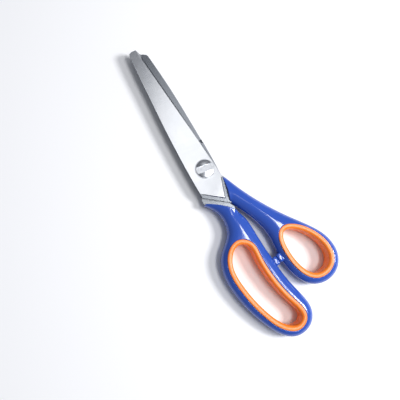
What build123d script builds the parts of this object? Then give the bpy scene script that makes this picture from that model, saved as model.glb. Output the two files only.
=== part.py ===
from build123d import *
import math
import os

# Zig-zag pinking shears, 9 inch class, lying on their back, almost closed.
# Frame: origin on the pivot axis in the plane the shears rest on, +X to the tips,
# +Y to the finger loop, +Z up along the pivot to the screw head. Millimetres.

# Overall sizes
blade_reach = 98.1          # pivot axis to the tip of the upper blade
handle_reach = 130.7        # pivot axis to the far end of the finger loop
handle_thickness = 12.6     # both handles, top to bottom

# Blades
blade_thickness = 3.0       # each blade, from its outer face to the plane they meet in
lower_tip_setback = 2.6     # the lower blade stops this far short of the upper one
edge_bevel_width = 2.0      # ground bevel seen along the upper cutting edge
edge_bevel_depth = 1.3
heel_bevel_depth = 0.6      # stepped rim along the slanted heel
tooth_pitch = 3.2           # zig-zag, one full tooth measured away from the pivot
tooth_depth = 1.5           # crest to root
tooth_start = 21.0          # radius where the teeth begin
tooth_band = 3.2            # width of the toothed strip along each cutting edge
tooth_gap = 0.3             # vertical gap between the two toothed faces
hollow_gap = 0.25           # how far the hollow ground face lies behind the tooth crests

# Pivot hardware
shank_diameter = 6.0
pivot_clearance = 0.06      # radial, between the shank and the blade that turns on it
head_diameter = 12.6
head_height = 1.8
head_dome = 0.9             # how much higher the middle of the head is than its edge
head_rounding = 0.3
slot_width = 4.6
slot_depth = 1.1
slot_turn = -8.0            # degrees from the Y axis
washer_diameter = 14.0      # shows as a thin ring round the head
washer_thickness = 0.3
lock_washer_diameter = 11.0
lock_washer_thickness = 0.5
nut_across_flats = 11.0
nut_chamfer = 0.5

# Handles
handle_rounding = 3.6       # top and bottom edges of both handles
neck_slope_start = 36.0     # the necks thin down from here to the pivot
neck_drop = 2.4             # how much lower the neck is at its front end
handle_gap = 0.8            # between a handle and the other blade
stop_from_end = 51.6        # meeting point of the two stops to the far end of the finger loop
stop_side = 14.5            # meeting point of the stops, on the thumb side of the X axis
stop_length = 6.4
stop_height = 7.0
stop_gap = 0.05
stop_reach = 4.2            # how far each stop reaches from the meeting plane into its handle
pad_length = 6.6            # raised pad on the finger handle
hole_easing = 0.5           # bevel round both mouths of each loop hole

# Grips: soft liners bonded into the loops
grip_wall = 3.6
grip_sink = 0.4             # liner edge below the face of the handle
grip_rounding = 1.5

# Outline lists are drawn for these reaches. Blades stretch beyond the heel line.
# Loops keep their shape and move back, and only the necks between heel and loops stretch.
drawn_blade = 98.1
drawn_handle = 130.7
heel_line = 22.0
neck_front = 30.0
neck_back = 54.0

# Heights
mid_height = handle_thickness / 2
upper_top = mid_height + blade_thickness
lower_bottom = mid_height - blade_thickness
head_seat = upper_top + washer_thickness
nut_height = lower_bottom - lock_washer_thickness


def alongBlade(points):
    stretch = (blade_reach - heel_line) / (drawn_blade - heel_line)
    return [(x if x < heel_line else heel_line + (x - heel_line) * stretch, y) for x, y in points]


def alongHandle(points):
    growth = handle_reach - drawn_handle

    def moved(x):
        if x > -neck_front:
            return x
        return x - growth * min(1, (-x - neck_front) / (neck_back - neck_front))

    return [(moved(x), y) for x, y in points]


# Upper blade, counter-clockwise from the heel corner on the spine side
upper_spine = [(-17.2, 11.1), (0, 11.7), (20, 11.6), (40, 11.1), (60, 10.1), (80, 9.3), (97.0, 7.9)]
upper_tip = [(97.0, 7.9), (98.1, 5.8), (98.1, 2.2), (95.6, 0.9)]
upper_edge = [(95.6, 0.9), (20, -6.9)]
upper_edge_back = [(20, -6.9), (8, -7.8), (-10.4, -9.0)]
upper_heel = (-28.8, -4.5)
upper_tang = [(-14, -10.0), (-24, -13.0), (-34, -18.2), (-46, -26.0), (-52, -28.5), (-54, -25.5),
              (-50, -21.0), (-42, -16.0), (-33.5, -10.2)]

# Lower blade
lower_tip_end = drawn_blade - lower_tip_setback
lower_edge = [(95.0, 3.3), (18, 7.4)]
lower_edge_back = [(18, 7.4), (4, 8.6), (-8, 9.6), (-17.5, 11.9)]
lower_tip = [(95.0, 3.3), (lower_tip_end, 0.4), (95.0, -1.6), (93.6, -3.9), (92.2, -4.5)]
lower_spine = [(92.2, -4.5), (80, -5.8), (60, -7.4), (40, -8.3), (20, -8.9), (0, -9.1), (-12, -8.7),
               (-26, -8.0)]
lower_tang = [(-22.6, 12.2), (-24.6, 8.7), (-30, 5.0), (-37, 3.2), (-45, 3.4), (-49, 1.0), (-49.5, -4.0),
              (-46, -6.0), (-37.5, -5.0)]

# Thumb handle: outer side from the front tip, round the loop, back up the inner side
thumb_outer = [(-10.6, -9.8), (-24, -15.9), (-40, -24.9), (-56, -36.1), (-72, -48.6), (-80, -53.3),
               (-88, -55.5), (-95, -55.4), (-101, -53.0), (-105.5, -48.8), (-108.2, -43), (-108.8, -37),
               (-107.2, -30.5), (-103.5, -25.2), (-98, -21.4), (-91, -18.7), (-83, -17.2), (-74, -17.0),
               (-64, -17.4), (-56, -16.4), (-48, -14.0), (-40, -10.5), (-28.8, -4.5)]
thumb_front = [(-28.8, -4.5), (-19.5, -7.0), (-10.6, -8.4)]

# Finger handle: same order
finger_outer = [(-22.5, 12.8), (-28, 8.5), (-34, 6.1), (-40, 5.9), (-46, 7.4), (-51, 11.2), (-56, 16.8),
                (-60.5, 20.4), (-66, 22.8), (-73, 24.0), (-82, 23.8), (-92, 22.2), (-104, 18.8),
                (-114, 14.6), (-122, 10.0), (-127.5, 4.8), (-130.3, -1.0), (-130.4, -7.0), (-128.3, -12.6),
                (-124, -16.8), (-118, -18.8), (-110, -18.0), (-100, -15.3), (-90, -13.1), (-80, -11.9),
                (-70, -10.9), (-60, -10.2), (-50, -9.7), (-44, -8.9), (-37.4, -6.6)]
finger_front = [(-37.4, -6.6), (-34.2, -4.4), (-30.6, -0.8), (-27.3, 3.0), (-24.4, 7.0), (-21.8, 11.3)]
finger_under_front = [(-37.4, -6.6), (-30, -3.0), (-17.0, 7.4), (-18.2, 9.6)]

thumb_grip_outline = [(-60.6, -28.5), (-62.2, -24.4), (-67, -21.4), (-75, -20.3), (-84, -20.9),
                      (-92, -22.9), (-98.5, -26.3), (-102.7, -31), (-104.2, -37.5), (-102.6, -44),
                      (-98, -49.0), (-91, -51.2), (-83, -50.4), (-75, -46.9), (-68, -41.8), (-62.8, -35.5)]
finger_grip_outline = [(-54.0, 5.5), (-55.6, 10.8), (-60.5, 16), (-67.5, 19.3), (-76, 20.2), (-86, 19.2),
                       (-96, 17.2), (-106, 14.1), (-116, 9.6), (-122.5, 4.4), (-125.9, -1.5), (-125.3, -7.7),
                       (-121.6, -11.9), (-116, -12.8), (-109, -10.9), (-100, -7.9), (-90, -5.7), (-80, -4.5),
                       (-70, -4.4), (-62, -4.2), (-56.5, -0.7)]


def loopCurve(outline, inset=0.0):
    """Closed curve through an outline's points, or the same curve moved inwards by a wall."""
    loop = Spline(*alongHandle(outline), periodic=True)
    if inset == 0:
        return loop
    samples = 2 * len(outline)
    points = []
    for i in range(samples):
        place, heading = loop @ (i / samples), loop % (i / samples)
        points.append((place.X - heading.Y * inset, place.Y + heading.X * inset))
    return Spline(*points, periodic=True)


def slab(face, bottom, top):
    return extrude(Pos(0, 0, bottom) * face, top - bottom)


def zigzagCutter(above):
    """Everything on one side of the meeting plane, with rings of teeth round the pivot ahead of it."""
    shift = -tooth_gap / 2 if above else tooth_gap / 2
    crest, root = mid_height + shift + tooth_depth / 2, mid_height + shift - tooth_depth / 2
    teeth = math.ceil((blade_reach + 4 - tooth_start) / tooth_pitch)
    line = [(0, mid_height), (tooth_start - tooth_pitch / 2, mid_height)]
    for i in range(teeth):
        start = tooth_start + i * tooth_pitch
        line += [(start, root), (start + tooth_pitch / 2, crest)]
    far, side = line[-1][0], handle_thickness + 6 if above else -6
    profile = Polyline(*line, (far, side), (0, side), close=True)
    toothed = Rot(0, 0, -90) * revolve(Plane.XZ * make_face(profile), Axis.Z, 180)
    depth = abs(side - mid_height)
    flat = Box(2 * handle_reach, 2 * handle_reach, depth, align=(Align.MAX, Align.CENTER, Align.CENTER))
    return toothed + Pos(0, 0, (mid_height + side) / 2) * flat


def upperBladeFace():
    tang = alongHandle(upper_tang)
    return make_face([
        Spline(*alongBlade(upper_spine)), Polyline(*alongBlade(upper_tip)), Line(*alongBlade(upper_edge)),
        Spline(*alongBlade(upper_edge_back)),
        Polyline(upper_edge_back[-1], *tang, upper_heel, upper_spine[0])])


def lowerBladeFace():
    tang = alongHandle(lower_tang)
    return make_face([
        Spline(*reversed(alongBlade(lower_edge_back))), Line(*alongBlade(reversed(lower_edge))),
        Polyline(*alongBlade(lower_tip)), Spline(*alongBlade(lower_spine)),
        Polyline(lower_spine[-1], *reversed(tang), lower_edge_back[-1])])


def hollowFace(edge, far_side):
    """Plan of the hollow ground part of an inner face, behind the toothed strip."""
    (x1, y1), (x2, y2) = sorted(alongBlade(edge))
    length = math.hypot(x2 - x1, y2 - y1)
    along, across = ((x2 - x1) / length, (y2 - y1) / length), (-(y2 - y1) / length, (x2 - x1) / length)
    side = math.copysign(1, far_side)
    first, last = tooth_start - x1, length + 3 * tooth_band

    def at(run, width):
        return x1 + along[0] * run + side * across[0] * width, y1 + along[1] * run + side * across[1] * width

    return make_face(Polyline(at(first, tooth_band), at(last, tooth_band), at(last + 4, abs(far_side)),
                              at(first, abs(far_side)), close=True))


def rimFace():
    """Everything outside the raised middle of the upper blade's heel."""
    corner, vertex, edge_end = upper_spine[0], upper_heel, upper_edge_back[-1]
    inner = [(-12.5, 15), (-15.2, 9.4), (-24.2, -2.7), (-10.6, -7.0), (-9.0, -12.5)]
    outer = [(-9.0, edge_end[1] - 9), (vertex[0] - 9, vertex[1] - 13), (vertex[0] - 9, corner[1] + 4),
             (-12.5, corner[1] + 4)]
    face = make_face(Polyline(*inner, *outer[:-1], close=True))
    return fillet(face.vertices().sort_by_distance((-15.2, 9.4))[0], 3.0)


def upperBlade():
    body = slab(upperBladeFace(), mid_height - tooth_depth, upper_top)
    body -= zigzagCutter(above=False)
    crest = mid_height + tooth_gap / 2 + tooth_depth / 2
    body -= slab(hollowFace(upper_edge, 30), 0, crest + hollow_gap)
    top = body.faces().filter_by(Axis.Z).sort_by(Axis.Z)[-1]
    ground = [e for e in top.edges() if e.center().Y < -0.05 * abs(e.center().X) and e.center().X > -5
              and e.length > 20]
    body = chamfer(ground, edge_bevel_depth, edge_bevel_width, reference=top)
    body -= extrude(Pos(0, 0, upper_top + 0.01) * rimFace(), -heel_bevel_depth, taper=40)
    bore = shank_diameter / 2 + pivot_clearance
    return body - Cylinder(bore, 4 * blade_thickness).moved(Location((0, 0, mid_height)))


def lowerBlade():
    body = slab(lowerBladeFace(), lower_bottom, mid_height + tooth_depth)
    body -= zigzagCutter(above=True)
    crest = mid_height - tooth_gap / 2 - tooth_depth / 2
    body -= slab(hollowFace(lower_edge, -30), crest - hollow_gap, handle_thickness)
    return body - Cylinder(shank_diameter / 2, 4 * blade_thickness).moved(Location((0, 0, mid_height)))


def pivotScrew():
    upwards = (Align.CENTER, Align.CENTER, Align.MIN)
    head = Pos(0, 0, head_seat) * Cylinder(head_diameter / 2, head_height, align=upwards)
    dome_radius = (head_diameter ** 2 / 4 + head_dome ** 2) / (2 * head_dome)
    head &= Pos(0, 0, head_seat + head_height - dome_radius) * Sphere(dome_radius)
    circles = [e for e in head.edges() if e.length > 3 * head_diameter]
    head = fillet(max(circles, key=lambda e: e.center().Z), head_rounding)
    slot = Rot(0, 0, slot_turn) * Box(slot_width, 2 * head_diameter, 2 * slot_depth)
    head -= Pos(0, 0, head_seat + head_height) * slot
    shank = Cylinder(shank_diameter / 2, head_seat, align=upwards)
    return head + chamfer(shank.edges().sort_by(Axis.Z)[0], 0.4)


def ring(outer_diameter, bottom, thickness, bore):
    align = (Align.CENTER, Align.CENTER, Align.MIN)
    body = Cylinder(outer_diameter / 2, thickness, align=align) - Cylinder(bore, 3 * thickness)
    return Pos(0, 0, bottom) * body


def pivotNut():
    body = extrude(RegularPolygon(nut_across_flats / 2, 6, major_radius=False), nut_height)
    corner = nut_across_flats / 2 + nut_chamfer / 2
    upwards = (Align.CENTER, Align.CENTER, Align.MIN)
    cone = Cone(corner, corner + nut_height * 2, nut_height * 2, align=upwards)
    return (body & cone) - Cylinder(shank_diameter / 2, 3 * handle_thickness)


def neckWedge(upward):
    """Wedge that thins a half handle towards the pivot."""
    level = handle_thickness if upward else 0
    drop = -neck_drop if upward else neck_drop
    beyond = 5 if upward else -5
    reach = neck_slope_start
    profile = Polyline((-reach, level), (-8, level + drop), (-8, level + beyond), (-reach, level + beyond),
                       close=True)
    return extrude(Plane.XZ * make_face(profile), 60, both=True)


def handleBody(outer, front):
    """Full-height handle with rounded rims and a thinned neck; its straight front stays sharp."""
    face = make_face([Spline(*alongHandle(outer)), Polyline(*alongHandle(front), alongHandle(outer)[0])])
    body = slab(face, 0, handle_thickness)
    flats = [f for f in body.faces() if abs(f.normal_at().Z) > 0.9]
    rims = [e for f in flats for e in f.edges() if e.geom_type == GeomType.BSPLINE]
    return fillet(rims, handle_rounding) - neckWedge(True) - neckWedge(False)


def cutLoop(body, outline):
    """Cuts the through hole for a liner and bevels both of its mouths."""
    loop = loopCurve(outline)
    body -= slab(make_face(loop), -1, handle_thickness + 1)
    mouths = []
    for e in body.edges():
        middle = e @ 0.5
        level = min(abs(middle.Z), abs(middle.Z - handle_thickness))
        if level < 0.01 and loop.distance_to(Vertex(middle.X, middle.Y, 0)) < 0.01:
            mouths.append(e)
    return chamfer(mouths, hole_easing)


def stopBlock(length, far, near):
    """Block on the radial plane in which the two stops meet, reaching between two distances from it."""
    back = handle_reach - stop_from_end
    block = Box(length, far - near, stop_height)
    turn = math.degrees(math.atan2(stop_side, back))
    return Rot(0, 0, turn) * Pos(-math.hypot(back, stop_side), (far + near) / 2, mid_height) * block


def thumbHandle():
    body = handleBody(thumb_outer, thumb_front) + stopBlock(stop_length, -stop_gap, -stop_reach)
    body = cutLoop(body, thumb_grip_outline)
    behind = alongHandle(lower_spine[-3:] + [lower_tang[-1], lower_tang[-2]])
    line = [(x, y - handle_gap) for x, y in behind]
    clear = make_face(Polyline(*line, (line[-1][0], 30), (line[0][0], 30), close=True))
    return body - slab(clear, -1, mid_height + handle_gap / 2) - upperBlade()


def fingerHandle():
    body = handleBody(finger_outer, finger_under_front) + stopBlock(pad_length, stop_reach, 0)
    body = cutLoop(body, finger_grip_outline)
    line = alongHandle(finger_front + [finger_outer[0]])
    (low_x, low_y), (high_x, high_y) = line[0], line[-1]
    clear = make_face(Polyline(*line, (high_x + 30, high_y), (low_x + 30, low_y), close=True))
    return body - slab(clear, mid_height - handle_gap / 2, 2 * handle_thickness) - lowerBlade()


def grip(outline):
    low, high = grip_sink, handle_thickness - grip_sink
    body = slab(make_face(loopCurve(outline)), low, high)
    body -= slab(make_face(loopCurve(outline, grip_wall)), low - 1, high + 1)
    rims = [e for e in body.edges() if abs(e.center().Z - low) < 0.01 or abs(e.center().Z - high) < 0.01]
    return fillet(rims, grip_rounding)


def main():
    os.makedirs("parts", exist_ok=True)
    washer_bore = shank_diameter / 2
    nodes = {
        "upper_blade": upperBlade(),
        "lower_blade": lowerBlade(),
        "thumb_handle": thumbHandle(),
        "finger_handle": fingerHandle(),
        "thumb_grip": grip(thumb_grip_outline),
        "finger_grip": grip(finger_grip_outline),
        "pivot_screw": pivotScrew(),
        "head_washer": ring(washer_diameter, upper_top, washer_thickness, washer_bore),
        "lock_washer": ring(lock_washer_diameter, nut_height, lock_washer_thickness, washer_bore),
        "pivot_nut": pivotNut(),
    }
    for name, body in nodes.items():
        body.label = name
        export_step(body, f"parts/{name}.step")
        print(f"{name}: {len(body.solids())} solid, {body.volume:.0f} mm3")


main()
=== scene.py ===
import bpy, bmesh, math
import numpy as np
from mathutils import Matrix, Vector
from mathutils.geometry import delaunay_2d_cdt


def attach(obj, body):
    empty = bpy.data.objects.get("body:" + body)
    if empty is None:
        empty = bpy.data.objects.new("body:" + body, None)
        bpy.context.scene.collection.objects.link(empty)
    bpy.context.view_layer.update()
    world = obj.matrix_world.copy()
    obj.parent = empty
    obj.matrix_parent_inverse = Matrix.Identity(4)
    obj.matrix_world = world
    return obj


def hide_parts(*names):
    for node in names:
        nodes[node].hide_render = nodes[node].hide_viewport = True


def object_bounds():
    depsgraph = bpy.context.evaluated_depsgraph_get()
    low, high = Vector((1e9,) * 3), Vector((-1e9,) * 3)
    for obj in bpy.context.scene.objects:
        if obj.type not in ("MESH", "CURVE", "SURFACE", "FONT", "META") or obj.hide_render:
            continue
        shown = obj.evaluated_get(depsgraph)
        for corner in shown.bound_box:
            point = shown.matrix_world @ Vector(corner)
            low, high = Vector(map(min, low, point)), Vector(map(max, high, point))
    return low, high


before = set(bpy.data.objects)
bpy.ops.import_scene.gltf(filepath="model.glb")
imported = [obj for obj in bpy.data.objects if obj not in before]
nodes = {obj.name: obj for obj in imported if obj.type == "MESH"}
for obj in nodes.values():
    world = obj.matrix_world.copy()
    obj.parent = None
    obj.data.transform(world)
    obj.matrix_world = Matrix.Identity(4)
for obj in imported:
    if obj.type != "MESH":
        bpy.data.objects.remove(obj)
cadLow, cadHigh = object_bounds()
mm = 0.001
print("frame loaded:", ", ".join(sorted(nodes)))


# Shader helpers

def toLinear(hexColour):
    parts = [int(hexColour[i:i + 2], 16) / 255 for i in (1, 3, 5)]
    return [c / 12.92 if c <= 0.04045 else ((c + 0.055) / 1.055) ** 2.4 for c in parts] + [1.0]


def addNode(tree, kind, settings=None, links=None):
    node = tree.nodes.new(kind)
    for name, value in (settings or {}).items():
        if isinstance(name, int) or name in node.inputs:
            node.inputs[name].default_value = value
        else:
            setattr(node, name, value)
    for socket, source in (links or {}).items():
        tree.links.new(source, node.inputs[socket])
    return node


def newMaterial(name, settings):
    material = bpy.data.materials.new(name)
    material.use_nodes = True
    tree = material.node_tree
    shader = tree.nodes["Principled BSDF"]
    for socket, value in settings.items():
        shader.inputs[socket].default_value = toLinear(value) if isinstance(value, str) else value
    return material, tree, shader


def dress(piece, material):
    piece.data.materials.clear()
    piece.data.materials.append(material)


# Ground stainless steel. The outer faces are satin polished: pale, slightly cloudy, with fine lines across
# the blade that stretch every reflection along it. The bevel, the stepped rim and the inner faces are left
# as ground, which is duller, and their darker grey is painted shade. Real lines are 0.05 mm apart and are
# drawn at 0.4 mm.
bladeSteel = {
    "shader": {"Base Color": "#CFD1D4", "Metallic": 1.0, "Roughness": 0.22},
    "lineSpacing": 0.4, "lineLength": 9.0, "lineHeight": 0.006,
    "cloudSize": 14.0, "cloudRoughness": 0.07, "lineRoughness": 0.07, "groundRoughness": 0.05,
    # ground: the darker grey of the faces near the middle plane, which is painted shade.
    "paleCloud": "#DADBDE", "darkCloud": "#BFC2C7", "ground": "#84888E",
    "middle": 6.3, "polishedUnshadedFrom": 2.7, "polishedUnshadedTo": 2.9,
}


def groundStainless():
    s = bladeSteel
    material, tree, shader = newMaterial("satinGroundStainless", s["shader"])
    place = addNode(tree, "ShaderNodeTexCoord").outputs["Object"]
    stretched = addNode(tree, "ShaderNodeMapping",
                        {"Scale": (1 / (s["lineSpacing"] * mm), 1 / (s["lineLength"] * mm), 1 / (2 * mm))},
                        {"Vector": place})
    lines = addNode(tree, "ShaderNodeTexNoise", {"Scale": 1.0, "Detail": 2.0, "Roughness": 0.55},
                    {"Vector": stretched.outputs["Vector"]})
    cloud = addNode(tree, "ShaderNodeTexNoise", {"Scale": 1 / (s["cloudSize"] * mm), "Detail": 3.0},
                    {"Vector": place})
    # How far from the plane where the blades meet tells the polished outer face from the rest: duller, with
    # painted shade.
    height = addNode(tree, "ShaderNodeSeparateXYZ", links={"Vector": place}).outputs["Z"]
    offset = addNode(tree, "ShaderNodeMath", {"operation": "SUBTRACT", 1: s["middle"] * mm}, {0: height})
    away = addNode(tree, "ShaderNodeMath", {"operation": "ABSOLUTE"}, {0: offset.outputs[0]})
    polishedUnshaded = addNode(tree, "ShaderNodeMapRange",
                       {"From Min": s["polishedUnshadedFrom"] * mm, "From Max": s["polishedUnshadedTo"] * mm},
                       {"Value": away.outputs[0]})
    tint = addNode(tree, "ShaderNodeMix", {"data_type": "RGBA", 6: toLinear(s["darkCloud"]),
                                           7: toLinear(s["paleCloud"])}, {0: cloud.outputs["Fac"]})
    # The faces near the middle plane take the ground grey: painted shade.
    tintAndPaintedShade = addNode(tree, "ShaderNodeMix", {"data_type": "RGBA", 6: toLinear(s["ground"])},
                    {0: polishedUnshaded.outputs["Result"], 7: tint.outputs[2]})
    tree.links.new(tintAndPaintedShade.outputs[2], shader.inputs["Base Color"])
    cloudy = addNode(tree, "ShaderNodeMath", {"operation": "MULTIPLY_ADD", 1: s["cloudRoughness"],
                                              2: s["shader"]["Roughness"] - s["cloudRoughness"]},
                     {0: cloud.outputs["Fac"]})
    ground = addNode(tree, "ShaderNodeMath", {"operation": "MULTIPLY_ADD", 1: s["lineRoughness"]},
                     {0: lines.outputs["Fac"], 2: cloudy.outputs[0]})
    dull = addNode(tree, "ShaderNodeMath", {"operation": "MULTIPLY_ADD", 1: -s["groundRoughness"]},
                   {0: polishedUnshaded.outputs["Result"], 2: ground.outputs[0]})
    duller = addNode(tree, "ShaderNodeMath", {"operation": "ADD", 1: s["groundRoughness"]},
                     {0: dull.outputs[0]})
    tree.links.new(duller.outputs[0], shader.inputs["Roughness"])
    bump = addNode(tree, "ShaderNodeBump", {"Strength": 1.0, "Distance": s["lineHeight"] * mm},
                   {"Height": lines.outputs["Fac"]})
    tree.links.new(bump.outputs["Normal"], shader.inputs["Normal"])
    return material


# Bright steel turned on a lathe: rings round the pivot, darker where the tool left oil and wear.
turnedSteelLook = {
    "shader": {"Base Color": "#C2C4C8", "Metallic": 1.0, "Roughness": 0.26},
    "ringSpacing": 0.35, "ringHeight": 0.008, "ringRoughness": 0.1, "stainSize": 3.0,
    "clean": "#C8CACE", "stained": "#9FA2A7",
}


def turnedSteel():
    s = turnedSteelLook
    material, tree, shader = newMaterial("turnedSteel", s["shader"])
    place = addNode(tree, "ShaderNodeTexCoord").outputs["Object"]
    flat = addNode(tree, "ShaderNodeVectorMath", {"operation": "MULTIPLY", 1: (1, 1, 0)}, {0: place})
    reach = addNode(tree, "ShaderNodeVectorMath", {"operation": "LENGTH"}, {0: flat.outputs[0]})
    turns = addNode(tree, "ShaderNodeMath", {"operation": "MULTIPLY", 1: 1 / (s["ringSpacing"] * mm)},
                    {0: reach.outputs["Value"]})
    rings = addNode(tree, "ShaderNodeTexNoise", {"noise_dimensions": "1D", "Scale": 1.0, "Detail": 2.0},
                    {"W": turns.outputs[0]})
    stain = addNode(tree, "ShaderNodeTexNoise", {"Scale": 1 / (s["stainSize"] * mm), "Detail": 4.0},
                    {"Vector": place})
    tint = addNode(tree, "ShaderNodeMix", {"data_type": "RGBA", 6: toLinear(s["stained"]),
                                           7: toLinear(s["clean"])}, {0: stain.outputs["Fac"]})
    tree.links.new(tint.outputs[2], shader.inputs["Base Color"])
    rough = addNode(tree, "ShaderNodeMath", {"operation": "MULTIPLY_ADD", 1: s["ringRoughness"],
                                             2: s["shader"]["Roughness"] - s["ringRoughness"] / 2},
                    {0: rings.outputs["Fac"]})
    tree.links.new(rough.outputs[0], shader.inputs["Roughness"])
    bump = addNode(tree, "ShaderNodeBump", {"Strength": 1.0, "Distance": s["ringHeight"] * mm},
                   {"Height": rings.outputs["Fac"]})
    tree.links.new(bump.outputs["Normal"], shader.inputs["Normal"])
    return material


# ABS, injection moulded in a polished mould: deep even blue with a hard gloss, faint flow clouds and
# the long shallow ripple that moulded ABS shows in its reflections.
handleAbs = {
    "shader": {"Base Color": "#2B50AE", "Roughness": 0.14, "IOR": 1.54, "Coat Weight": 0.35,
               "Coat Roughness": 0.05},
    "rippleSize": 9.0, "rippleHeight": 0.02, "peelSize": 0.9, "peelHeight": 0.001,
    "flowSize": 22.0, "paleFlow": "#2F55B4", "deepFlow": "#274AA6", "wearRoughness": 0.06,
}


def mouldedAbs():
    s = handleAbs
    material, tree, shader = newMaterial("mouldedGlossAbs", s["shader"])
    place = addNode(tree, "ShaderNodeTexCoord").outputs["Object"]
    flow = addNode(tree, "ShaderNodeTexNoise", {"Scale": 1 / (s["flowSize"] * mm), "Detail": 2.0,
                                                "Distortion": 0.6}, {"Vector": place})
    tint = addNode(tree, "ShaderNodeMix", {"data_type": "RGBA", 6: toLinear(s["deepFlow"]),
                                           7: toLinear(s["paleFlow"])}, {0: flow.outputs["Fac"]})
    tree.links.new(tint.outputs[2], shader.inputs["Base Color"])
    ripple = addNode(tree, "ShaderNodeTexNoise", {"Scale": 1 / (s["rippleSize"] * mm), "Detail": 1.0},
                     {"Vector": place})
    peel = addNode(tree, "ShaderNodeTexNoise", {"Scale": 1 / (s["peelSize"] * mm), "Detail": 1.0},
                   {"Vector": place})
    wear = addNode(tree, "ShaderNodeMath", {"operation": "MULTIPLY_ADD", 1: s["wearRoughness"],
                                            2: s["shader"]["Roughness"] - s["wearRoughness"] / 2},
                   {0: peel.outputs["Fac"]})
    tree.links.new(wear.outputs[0], shader.inputs["Roughness"])
    long = addNode(tree, "ShaderNodeBump", {"Strength": 1.0, "Distance": s["rippleHeight"] * mm},
                   {"Height": ripple.outputs["Fac"]})
    fine = addNode(tree, "ShaderNodeBump", {"Strength": 1.0, "Distance": s["peelHeight"] * mm},
                   {"Height": peel.outputs["Fac"], "Normal": long.outputs["Normal"]})
    tree.links.new(fine.outputs["Normal"], shader.inputs["Normal"])
    tree.links.new(fine.outputs["Normal"], shader.inputs["Coat Normal"])
    return material


# Thermoplastic rubber, moulded over the loop: warm orange, a little light passes into it, and its
# spark-eroded mould leaves a fine satin grain. Real grain is 0.1 mm and is drawn at 0.45 mm.
gripRubber = {
    "shader": {"Base Color": "#F3822A", "Roughness": 0.3, "IOR": 1.5, "Subsurface Weight": 0.1,
               "Subsurface Radius": (1.0, 0.35, 0.12), "Subsurface Scale": 0.0012},
    "grainSize": 0.45, "grainHeight": 0.006, "grainRoughness": 0.12,
    "shadeSize": 9.0, "pale": "#F58C30", "deep": "#EE7820",
}


def mouldedRubber():
    s = gripRubber
    material, tree, shader = newMaterial("mouldedRubber", s["shader"])
    place = addNode(tree, "ShaderNodeTexCoord").outputs["Object"]
    shade = addNode(tree, "ShaderNodeTexNoise", {"Scale": 1 / (s["shadeSize"] * mm), "Detail": 2.0},
                    {"Vector": place})
    tint = addNode(tree, "ShaderNodeMix", {"data_type": "RGBA", 6: toLinear(s["deep"]),
                                           7: toLinear(s["pale"])}, {0: shade.outputs["Fac"]})
    tree.links.new(tint.outputs[2], shader.inputs["Base Color"])
    grain = addNode(tree, "ShaderNodeTexNoise", {"Scale": 1 / (s["grainSize"] * mm), "Detail": 2.0},
                    {"Vector": place})
    rough = addNode(tree, "ShaderNodeMath", {"operation": "MULTIPLY_ADD", 1: s["grainRoughness"],
                                             2: s["shader"]["Roughness"] - s["grainRoughness"] / 2},
                    {0: grain.outputs["Fac"]})
    tree.links.new(rough.outputs[0], shader.inputs["Roughness"])
    bump = addNode(tree, "ShaderNodeBump", {"Strength": 1.0, "Distance": s["grainHeight"] * mm},
                   {"Height": grain.outputs["Fac"]})
    tree.links.new(bump.outputs["Normal"], shader.inputs["Normal"])
    return material


bladeFinish, hardwareFinish = groundStainless(), turnedSteel()
handleFinish, gripFinish = mouldedAbs(), mouldedRubber()
print("materials made")


# Curve helpers, all in millimetres in the frame's XY plane

# Smooth curve through the points, sampled every step.
def splinePoints(points, step, closed):
    p = np.array(points + points[:1] if closed else points, float)
    chord = np.hypot(*np.diff(p, axis=0).T)
    slope = np.diff(p, axis=0) / chord[:, None]
    t = np.concatenate([[0], np.cumsum(chord)])
    n = len(p)
    a, b = np.zeros((n, n)), np.zeros((n, 2))
    for i in range(1, n - 1):
        a[i, i - 1:i + 2] = chord[i - 1], 2 * (chord[i - 1] + chord[i]), chord[i]
        b[i] = 6 * (slope[i] - slope[i - 1])
    if closed:
        a[0, 0], a[0, -1] = 1, -1
        a[-1, 0], a[-1, 1], a[-1, -1], a[-1, -2] = 2 * chord[0], chord[0], 2 * chord[-1], chord[-1]
        b[-1] = 6 * (slope[0] - slope[-1])
    else:
        a[0, 0] = a[-1, -1] = 1
    bend = np.linalg.solve(a, b)
    s = np.linspace(0, t[-1], round(t[-1] / step) + 1)
    i = np.clip(np.searchsorted(t, s, side="right") - 1, 0, n - 2)
    h, u = chord[i][:, None], (s - t[i])[:, None]
    v = h - u
    curve = ((bend[i] * v ** 3 + bend[i + 1] * u ** 3) / (6 * h)
             + (p[i] / h - bend[i] * h / 6) * v + (p[i + 1] / h - bend[i + 1] * h / 6) * u)
    return curve[:-1] if closed else curve


def straightPoints(points, step):
    p = [np.array(q, float) for q in points]
    out = [p[0]]
    for a, b in zip(p, p[1:]):
        count = max(1, round(float(np.hypot(*(b - a))) / step))
        out += [a + (b - a) * (i + 1) / count for i in range(count)]
    return np.array(out)


# Distance to the line, and the unit direction away from it. On the line, that is to its left.
def nearest(points, line):
    best, way = np.full(len(points), 1e9), np.zeros((len(points), 2))
    for start, run in zip(line[:-1], np.diff(line, axis=0)):
        share = np.clip(((points - start) @ run) / max(run @ run, 1e-12), 0, 1)
        off = points - start - share[:, None] * run
        far = np.hypot(*off.T)
        left = np.array([-run[1], run[0]]) / max(np.hypot(*run), 1e-9)
        closer = far < best - 1e-9
        way[closer] = np.where(far[:, None] > 1e-4, off / np.maximum(far, 1e-9)[:, None], left)[closer]
        best = np.where(closer, far, best)
    return best, way


def distanceTo(points, line):
    return nearest(points, line)[0]


def inside(points, ring):
    x, y = points.T
    hit = np.zeros(len(points), bool)
    for (x1, y1), (x2, y2) in zip(ring, np.roll(ring, -1, axis=0)):
        if y1 != y2:
            hit ^= ((y1 > y) != (y2 > y)) & (x < (x2 - x1) * (y - y1) / (y2 - y1) + x1)
    return hit


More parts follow.
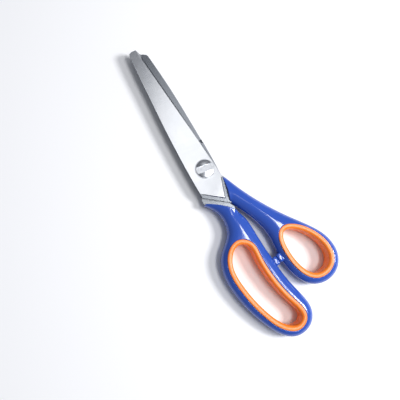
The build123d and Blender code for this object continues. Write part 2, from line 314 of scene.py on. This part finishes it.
# The line moved to the left of its run, which is inwards for a counter-clockwise outline.
def movedIn(line, distance, closed):
    if closed:
        way = np.roll(line, -1, axis=0) - np.roll(line, 1, axis=0)
    else:
        way = np.gradient(line, axis=0)
    way = way / np.hypot(*way.T)[:, None]
    return line + distance * np.stack([-way[:, 1], way[:, 0]], axis=1)


def loopArea(ring):
    x, y = ring.T
    return float(np.sum(x * np.roll(y, -1) - y * np.roll(x, -1)) / 2)


def makePiece(name, vertices, faces, body, material, stands=(), sharpAngle=40, normals=None,
              rounded=None):
    mesh = bpy.data.meshes.new(name)
    mesh.from_pydata([Vector(v) * mm for v in vertices], [], faces)
    made = bmesh.new()
    made.from_mesh(mesh)
    bmesh.ops.recalc_face_normals(made, faces=made.faces)
    made.to_mesh(mesh)
    made.free()
    mesh.shade_smooth()
    if normals is None:
        mesh.set_sharp_from_angle(angle=math.radians(sharpAngle))
    else:
        corners = [normals[v] if smooth else face.normal
                   for face, smooth in zip(mesh.polygons, rounded) for v in face.vertices]
        mesh.normals_split_custom_set(corners)
    piece = bpy.data.objects.new(name, mesh)
    bpy.context.scene.collection.objects.link(piece)
    dress(piece, material)
    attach(piece, body)
    if stands:
        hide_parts(*stands)
    print(f"{name}: {len(mesh.vertices)} vertices")


# Handles: each is a moulding with a full round rim, a neck that thins towards the pivot, and a step
# at half height where it makes room for the other blade.
handleShape = {
    "thickness": 12.6, "rim": 8.6, "rimDepth": 5.8, "rimFullness": 2.0, "easing": 0.5,
    "slopeStart": 36.0, "slopeEnd": 8.0, "slopeDrop": 2.4, "step": 0.9,
    "cell": 0.4, "ridgeBlur": 0.9, "ridgeFrom": 1.5, "leastWall": 0.2,
}
# Where a handle's mesh points lie, in mm: rows follow each line, and a staggered grid fills the rest.
handleMesh = {
    "rimAngles": range(8, 57, 8), "loopRows": (0.12, 0.35, 0.7), "frontRows": (0.12, 0.5),
    "rowSpace": 0.03, "rimToLoop": 0.95, "loopToRim": 1.0, "frontToRim": 0.5,
    "gridAcross": 1.0, "gridAlong": 0.87, "gridToRim": 0.5, "gridToLoop": 1.1, "gridToFront": 1.0,
}
thumbForm = {
    "outer": [(-10.6, -9.8), (-24, -15.9), (-40, -24.9), (-56, -36.1), (-72, -48.6), (-80, -53.3),
              (-88, -55.5), (-95, -55.4), (-101, -53.0), (-105.5, -48.8), (-108.2, -43),
              (-108.8, -37), (-107.2, -30.5),
              (-103.5, -25.2), (-98, -21.4), (-91, -18.7), (-83, -17.2), (-74, -17.0), (-64, -17.4),
              (-56, -16.4), (-48, -14.0), (-40, -10.5), (-28.8, -4.5)],
    "frontAbove": [(-19.5, -7.0), (-10.6, -8.4)], "frontBelow": [(-19.5, -7.0), (-10.6, -8.4)],
    "cutBelow": [(0, -9.9), (-12, -9.5), (-26, -8.8), (-37.5, -5.8), (-46, -6.8), (-46, 30), (0, 30)],
    "split": 6.7,
    "loop": [(-60.6, -28.5), (-62.2, -24.4), (-67, -21.4), (-75, -20.3), (-84, -20.9), (-92, -22.9),
             (-98.5, -26.3), (-102.7, -31), (-104.2, -37.5), (-102.6, -44), (-98, -49.0), (-91, -51.2),
             (-83, -50.4), (-75, -46.9), (-68, -41.8), (-62.8, -35.5)],
}
fingerForm = {
    "outer": [(-22.5, 12.8), (-28, 8.5), (-34, 6.1), (-40, 5.9), (-46, 7.4), (-51, 11.2), (-56, 16.8),
              (-60.5, 20.4), (-66, 22.8), (-73, 24.0), (-82, 23.8), (-92, 22.2), (-104, 18.8), (-114, 14.6),
              (-122, 10.0), (-127.5, 4.8), (-130.3, -1.0), (-130.4, -7.0), (-128.3, -12.6), (-124, -16.8),
              (-118, -18.8), (-110, -18.0), (-100, -15.3), (-90, -13.1), (-80, -11.9), (-70, -10.9),
              (-60, -10.2), (-50, -9.7), (-44, -8.9), (-37.4, -6.6)],
    "frontAbove": [(-34.2, -4.4), (-30.6, -0.8), (-27.3, 3.0), (-24.4, 7.0), (-21.8, 11.3)],
    "frontBelow": [(-30, -3.0), (-17.0, 7.4), (-18.2, 9.6)], "cutBelow": [],
    "split": 5.9,
    "loop": [(-54.0, 5.5), (-55.6, 10.8), (-60.5, 16), (-67.5, 19.3), (-76, 20.2), (-86, 19.2),
             (-96, 17.2), (-106, 14.1), (-116, 9.6), (-122.5, 4.4), (-125.9, -1.5), (-125.3, -7.7),
             (-121.6, -11.9), (-116, -12.8), (-109, -10.9), (-100, -7.9), (-90, -5.7), (-80, -4.5),
             (-70, -4.4), (-62, -4.2), (-56.5, -0.7)],
}


# How far the round rim has fallen, 0 on the flat and 1 at the outline, its slope, and how far in it is.
def roundRim(points, outer):
    rim, n = handleShape["rim"], handleShape["rimFullness"]
    far, way = nearest(points, outer)
    fall = np.clip(1 - far / rim, 0, 0.9999)
    rest = 1 - fall ** n
    steep = -fall ** (n - 1) * rest ** (1 / n - 1) / rim
    return 1 - rest ** (1 / n), steep[:, None] * way, far


# The same with a soft ridge where both sides of a neck meet, read from a blurred grid.
def softRidge(points, outer):
    cell, blur = handleShape["cell"], handleShape["ridgeBlur"]
    low, high = outer.min(0) - 4, outer.max(0) + 4
    xs, ys = np.arange(low[0], high[0], cell), np.arange(low[1], high[1], cell)
    gx, gy = np.meshgrid(xs, ys, indexing="ij")
    grid = roundRim(np.stack([gx.ravel(), gy.ravel()], axis=1), outer)[0].reshape(gx.shape)
    away = np.arange(-int(3 * blur / cell), int(3 * blur / cell) + 1) * cell
    weights = np.exp(-0.5 * (away / blur) ** 2)
    weights /= weights.sum()
    for axis in (0, 1):
        grid = np.apply_along_axis(np.convolve, axis, grid, weights, "same")
    u, v = ((points - low) / cell).T
    i, j = np.clip(u.astype(int), 0, len(xs) - 2), np.clip(v.astype(int), 0, len(ys) - 2)
    u, v = u - i, v - j

    def read(g):
        return ((g[i, j] * (1 - u) + g[i + 1, j] * u) * (1 - v)
                + (g[i, j + 1] * (1 - u) + g[i + 1, j + 1] * u) * v)

    return read(grid), np.stack([read(g) for g in np.gradient(grid, cell)], axis=1)


# Height of the upper or lower skin over plan points, and its normals.
def skin(points, crown, crownSlope, edges, split, above):
    s = handleShape
    ramp = s["slopeDrop"] / (s["slopeStart"] - s["slopeEnd"])
    drop = np.maximum(points[:, 0] + s["slopeStart"], 0) * ramp
    face = s["thickness"] - drop if above else drop
    rise = np.minimum(s["rimDepth"], np.abs(face - split) - s["leastWall"])
    depth, slope = rise * crown, rise[:, None] * crownSlope
    slope[:, 0] += np.where(drop > 0, ramp, 0)
    far, way = np.full(len(points), 1e9), np.zeros((len(points), 2))
    for edge, sign in edges:
        d, w = nearest(points, edge)
        way[d < far] = (np.where(d > 1e-4, 1, sign)[:, None] * w)[d < far]
        far = np.minimum(d, far)
    ease = np.clip(1 - far / s["easing"], 0, 0.985)
    depth = depth + s["easing"] * (1 - np.sqrt(1 - ease ** 2))
    slope = slope - (ease / np.sqrt(1 - ease ** 2))[:, None] * way
    normals = np.column_stack([slope, np.full(len(points), 1.0 if above else -1.0)])
    normals /= np.linalg.norm(normals, axis=1)[:, None]
    return (face - depth if above else face + depth), normals


def sculptHandle(name, form, body, node):
    s, m = handleShape, handleMesh
    step, split = s["step"], form["split"]
    outer = splinePoints(form["outer"], step, False)
    loop = splinePoints(form["loop"], step, True)
    fronts = {side: straightPoints([outer[-1], *form[side], outer[0]], step)
              for side in ("frontAbove", "frontBelow")}
    rings = {side: np.vstack([outer, front[1:-1]]) for side, front in fronts.items()}
    if loopArea(rings["frontAbove"]) < 0:
        outer = outer[::-1]
        fronts = {side: front[::-1] for side, front in fronts.items()}
        rings = {side: ring[::-1] for side, ring in rings.items()}
    cut = np.array(form["cutBelow"]) if form["cutBelow"] else None
    closedLoop = np.vstack([loop, loop[:1]])

    def solidAbove(p):
        return inside(p, rings["frontAbove"]) & ~inside(p, loop)

    def solidBelow(p):
        solid = inside(p, rings["frontBelow"]) & ~inside(p, loop)
        return solid & ~inside(p, cut) if cut is not None else solid

    # Plan points: outlines, rows that follow the round rim, rows round the loop, and a filling grid.
    rows = [s["rim"] * (1 - math.cos(math.radians(a))) for a in m["rimAngles"]]
    loose = []
    for row in rows:
        p = movedIn(outer, row, False)
        far = distanceTo(p, outer) > row - m["rowSpace"]
        loose.append(p[far & (distanceTo(p, closedLoop) > m["rimToLoop"])])
    for row in m["loopRows"]:
        p = movedIn(loop, -row, True)
        loose.append(p[distanceTo(p, outer) > m["loopToRim"]])
    for front in fronts.values():
        for row in m["frontRows"]:
            p = movedIn(front[1:-1], row, False)
            loose.append(p[distanceTo(p, outer) > m["frontToRim"]])
    low, high = outer.min(0), outer.max(0)
    gx, gy = np.meshgrid(np.arange(low[0], high[0], m["gridAcross"]),
                         np.arange(low[1] - 5, high[1] + 5, m["gridAlong"]))
    gx[1::2] += m["gridAcross"] / 2
    p = np.stack([gx.ravel(), gy.ravel()], axis=1)
    p = p[(distanceTo(p, outer) > rows[-1] + m["gridToRim"]) & (distanceTo(p, closedLoop) > m["gridToLoop"])]
    loose.append(p[np.min([distanceTo(p, f) for f in fronts.values()], axis=0) > m["gridToFront"]])
    loose = np.vstack(loose)
    loose = loose[solidAbove(loose) | solidBelow(loose)]

    points, edges = [], []
    for line, closed in [(outer, False), (fronts["frontAbove"], False), (fronts["frontBelow"], False),
                         (loop, True)]:
        start = len(points)
        points += [tuple(q) for q in line]
        edges += [(start + i, start + i + 1) for i in range(len(line) - 1)]
        if closed:
            edges.append((len(points) - 1, start))
    if cut is not None:
        start, line = len(points), straightPoints(form["cutBelow"][:5], step)
        points += [tuple(q) for q in line]
        edges += [(start + i, start + i + 1) for i in range(len(line) - 1)]
    points += [tuple(q) for q in loose]
    flat, _, triangles, *_ = delaunay_2d_cdt([Vector(q) for q in points], edges, [], 0, 1e-4)
    flat = np.array([tuple(q) for q in flat])
    triangles = [t for t in triangles if len(t) == 3]
    middles = np.array([flat[list(t)].mean(0) for t in triangles])
    isAbove, isBelow = solidAbove(middles), solidBelow(middles)

    # Skins above and below, walls down to the split, and the step where only one half has material.
    count = len(flat)
    crown, slope, inward = roundRim(flat, outer)
    ridge, ridgeSlope = softRidge(flat, outer)
    soft = np.clip(inward / s["ridgeFrom"] - 1, 0, 1)
    crown = crown * (1 - soft) + ridge * soft
    slope = slope * (1 - soft)[:, None] + ridgeSlope * soft[:, None]
    halves = [skin(flat, crown, slope, [(closedLoop, -1), (fronts[side], 1)], split, side == "frontAbove")
              for side in ("frontAbove", "frontBelow")]
    outward = np.column_stack([-nearest(flat, outer)[1], np.zeros(count)])
    vertices = [(x, y, z) for heights in (halves[0][0], halves[1][0], np.full(count, split))
                for (x, y), z in zip(flat, heights)]
    normals = np.vstack([halves[0][1], halves[1][1], outward])
    faces, rounded, borders = [], [], {0: {}, 1: {}}
    for (a, b, c), up, down in zip(triangles, isAbove, isBelow):
        for half, solid in ((0, up), (1, down)):
            if solid:
                faces.append([i + half * count for i in (a, b, c)])
                rounded.append(True)
                for e in ((a, b), (b, c), (c, a)):
                    key = tuple(sorted(e))
                    borders[half][key] = borders[half].get(key, 0) + 1
        if up != down:
            faces.append([i + 2 * count for i in (a, b, c)])
            rounded.append(False)
    for half, counts in borders.items():
        for (a, b), uses in counts.items():
            if uses == 1:
                faces.append([a + half * count, b + half * count, b + 2 * count, a + 2 * count])
                rounded.append(max(inward[a], inward[b]) < 1e-3)
    used = sorted({i for f in faces for i in f})
    place = {old: new for new, old in enumerate(used)}
    makePiece(name, [vertices[i] for i in used], [[place[i] for i in f] for f in faces], body, handleFinish,
              [node], normals=normals[used], rounded=rounded)


sculptHandle("thumbHandleMoulding", thumbForm, "upper_half", "thumb_handle")
sculptHandle("fingerHandleMoulding", fingerForm, "lower_half", "finger_handle")


# Stops: two blocks moulded on the handles that meet when the shears close.
stopShape = {"fromEnd": 51.6, "side": 14.5, "gap": 0.05, "reach": 4.2, "height": 7.0,
             "thumbLength": 6.4, "padLength": 6.6, "rounding": 1.3, "segments": 4}


def makeStop(name, length, far, near, body):
    s = stopShape
    back = -cadLow.x / mm - s["fromEnd"]
    turn, reach = math.atan2(s["side"], back), math.hypot(back, s["side"])
    made = bmesh.new()
    bmesh.ops.create_cube(made, size=1.0)
    for v in made.verts:
        v.co = Vector((v.co.x * length - reach, v.co.y * (far - near) + (far + near) / 2,
                       v.co.z * s["height"] + handleShape["thickness"] / 2))
    bmesh.ops.bevel(made, geom=list(made.edges), offset=s["rounding"], segments=s["segments"], profile=0.5,
                    affect="EDGES")
    c, k = math.cos(turn), math.sin(turn)
    made.verts.index_update()
    vertices = [(v.co.x * c - v.co.y * k, v.co.x * k + v.co.y * c, v.co.z) for v in made.verts]
    faces = [[v.index for v in f.verts] for f in made.faces]
    made.free()
    makePiece(name, vertices, faces, body, handleFinish)


makeStop("thumbStop", stopShape["thumbLength"], -stopShape["gap"], -stopShape["reach"], "upper_half")
makeStop("fingerStopPad", stopShape["padLength"], stopShape["reach"], 0, "lower_half")


# Grips: soft liners, a D-shaped section swept round each loop.
gripShape = {"wall": 3.5, "bulge": 0.15, "sink": 0.4, "outerRounding": 0.45, "innerRounding": 1.9,
             "step": 0.7, "outerAngles": (90, 60, 30, 0), "innerAngles": range(0, 91, 15),
             "wallRows": (0.66, 0.33, 0.0), "sharpAngle": 60}


def gripSection():
    s = gripShape
    half = handleShape["thickness"] / 2 - s["sink"]
    corner = [(s["outerRounding"] * (1 - math.sin(a)),
               half - s["outerRounding"] * (1 - math.cos(a)))
              for a in map(math.radians, s["outerAngles"])]
    mouth = [(s["wall"] - s["innerRounding"] * (1 - math.sin(a)),
              half - s["innerRounding"] * (1 - math.cos(a)))
             for a in map(math.radians, s["innerAngles"])]
    wall = [(s["wall"] + s["bulge"] * (1 - h * h), h * (half - s["innerRounding"]))
            for h in s["wallRows"]]
    upper = corner + mouth + wall
    lower = [(across, -up) for across, up in reversed(upper[:-1])]
    return upper + lower


def sweepGrip(name, loopPoints, body, node):
    line = splinePoints(loopPoints, gripShape["step"], True)
    if loopArea(line) < 0:
        line = line[::-1]
    section = gripSection()
    middle = handleShape["thickness"] / 2
    vertices = []
    for across, up in section:
        vertices += [(x, y, middle + up) for x, y in movedIn(line, across, True)]
    n, m = len(line), len(section)
    faces = [[j * n + i, j * n + (i + 1) % n, (j + 1) % m * n + (i + 1) % n, (j + 1) % m * n + i]
             for j in range(m) for i in range(n)]
    makePiece(name, vertices, faces, body, gripFinish, [node], gripShape["sharpAngle"])


sweepGrip("thumbGripLiner", thumbForm["loop"], "upper_half", "thumb_grip")
sweepGrip("fingerGripLiner", fingerForm["loop"], "lower_half", "finger_grip")


# Blades and hardware keep their CAD shape, with a small broken edge that catches the light.
steelEdges = {"blade": 0.12, "hardware": 0.1, "angle": 35, "segments": 2}
steelParts = {"upper_blade": bladeFinish, "lower_blade": bladeFinish, "pivot_screw": hardwareFinish,
              "head_washer": hardwareFinish, "lock_washer": hardwareFinish, "pivot_nut": hardwareFinish}
for nodeName, finish in steelParts.items():
    dress(nodes[nodeName], finish)
    broken = nodes[nodeName].modifiers.new("brokenEdge", "BEVEL")
    broken.limit_method, broken.angle_limit = "ANGLE", math.radians(steelEdges["angle"])
    broken.width = steelEdges["blade" if "blade" in nodeName else "hardware"] * mm
    broken.segments, broken.harden_normals, broken.use_clamp_overlap = steelEdges["segments"], True, True
print("steel parts dressed")


# Studio: pale floor, a soft light over the blades, a key from the thumb side, and a long narrow lamp for
# the gloss lines along the handles
studio = {
    "floor": "#F2F2F4", "floorSize": 6.0, "floorBelow": 0.1, "world": "#DDE2EC", "worldStrength": 0.32,
    "overhead": {"at": (0.225, -0.2, 0.9), "size": (0.22, 0.5), "watts": 0.56},
    "key": {"at": (-0.35, -0.66, 0.7), "size": (0.26, 0.26), "watts": 9.0},
    "glint": {"at": (-0.2, -0.24, 0.85), "size": (0.4, 0.15), "watts": 3.2},
}


def addLight(name, settings):
    light = bpy.data.lights.new(name, "AREA")
    light.shape, light.size, light.size_y = "RECTANGLE", *settings["size"]
    light.energy = settings["watts"]
    lamp = bpy.data.objects.new(name, light)
    bpy.context.scene.collection.objects.link(lamp)
    lamp.location = settings["at"]
    lamp.rotation_euler = (-Vector(settings["at"])).to_track_quat("-Z", "Y").to_euler()


def makeStudio():
    bpy.ops.mesh.primitive_grid_add(x_subdivisions=4, y_subdivisions=4, size=studio["floorSize"],
                                    location=(0, 0, cadLow.z - studio["floorBelow"] * mm))
    floor = bpy.context.object
    floor.name = "studioFloor"
    paper, _, _ = newMaterial("matteBackdropPaper", {"Base Color": studio["floor"], "Roughness": 0.7})
    dress(floor, paper)
    world = bpy.data.worlds.new("studioWorld")
    bpy.context.scene.world = world
    world.use_nodes = True
    bpy.context.scene.view_settings.view_transform = "Standard"
    sky = world.node_tree.nodes["Background"]
    sky.inputs["Color"].default_value = toLinear(studio["world"])
    sky.inputs["Strength"].default_value = studio["worldStrength"]
    addLight("overheadSoftbox", studio["overhead"])
    addLight("keySoftbox", studio["key"])
    addLight("glintLamp", studio["glint"])


makeStudio()

# Camera above the handles, turned so that the blades run up and to the left
cameraView = {"at": (-0.03849, 0.06672, 0.29888), "turn": (8.568, -7.164, -118.933),
              "lens": 38.7, "sensor": 36.0}
lens = bpy.data.cameras.new("viewCamera")
lens.lens, lens.sensor_width = cameraView["lens"], cameraView["sensor"]
camera = bpy.data.objects.new("viewCamera", lens)
camera.location = cameraView["at"]
camera.rotation_euler = [math.radians(a) for a in cameraView["turn"]]
bpy.context.scene.collection.objects.link(camera)
bpy.context.scene.camera = camera
print("studio and camera ready")
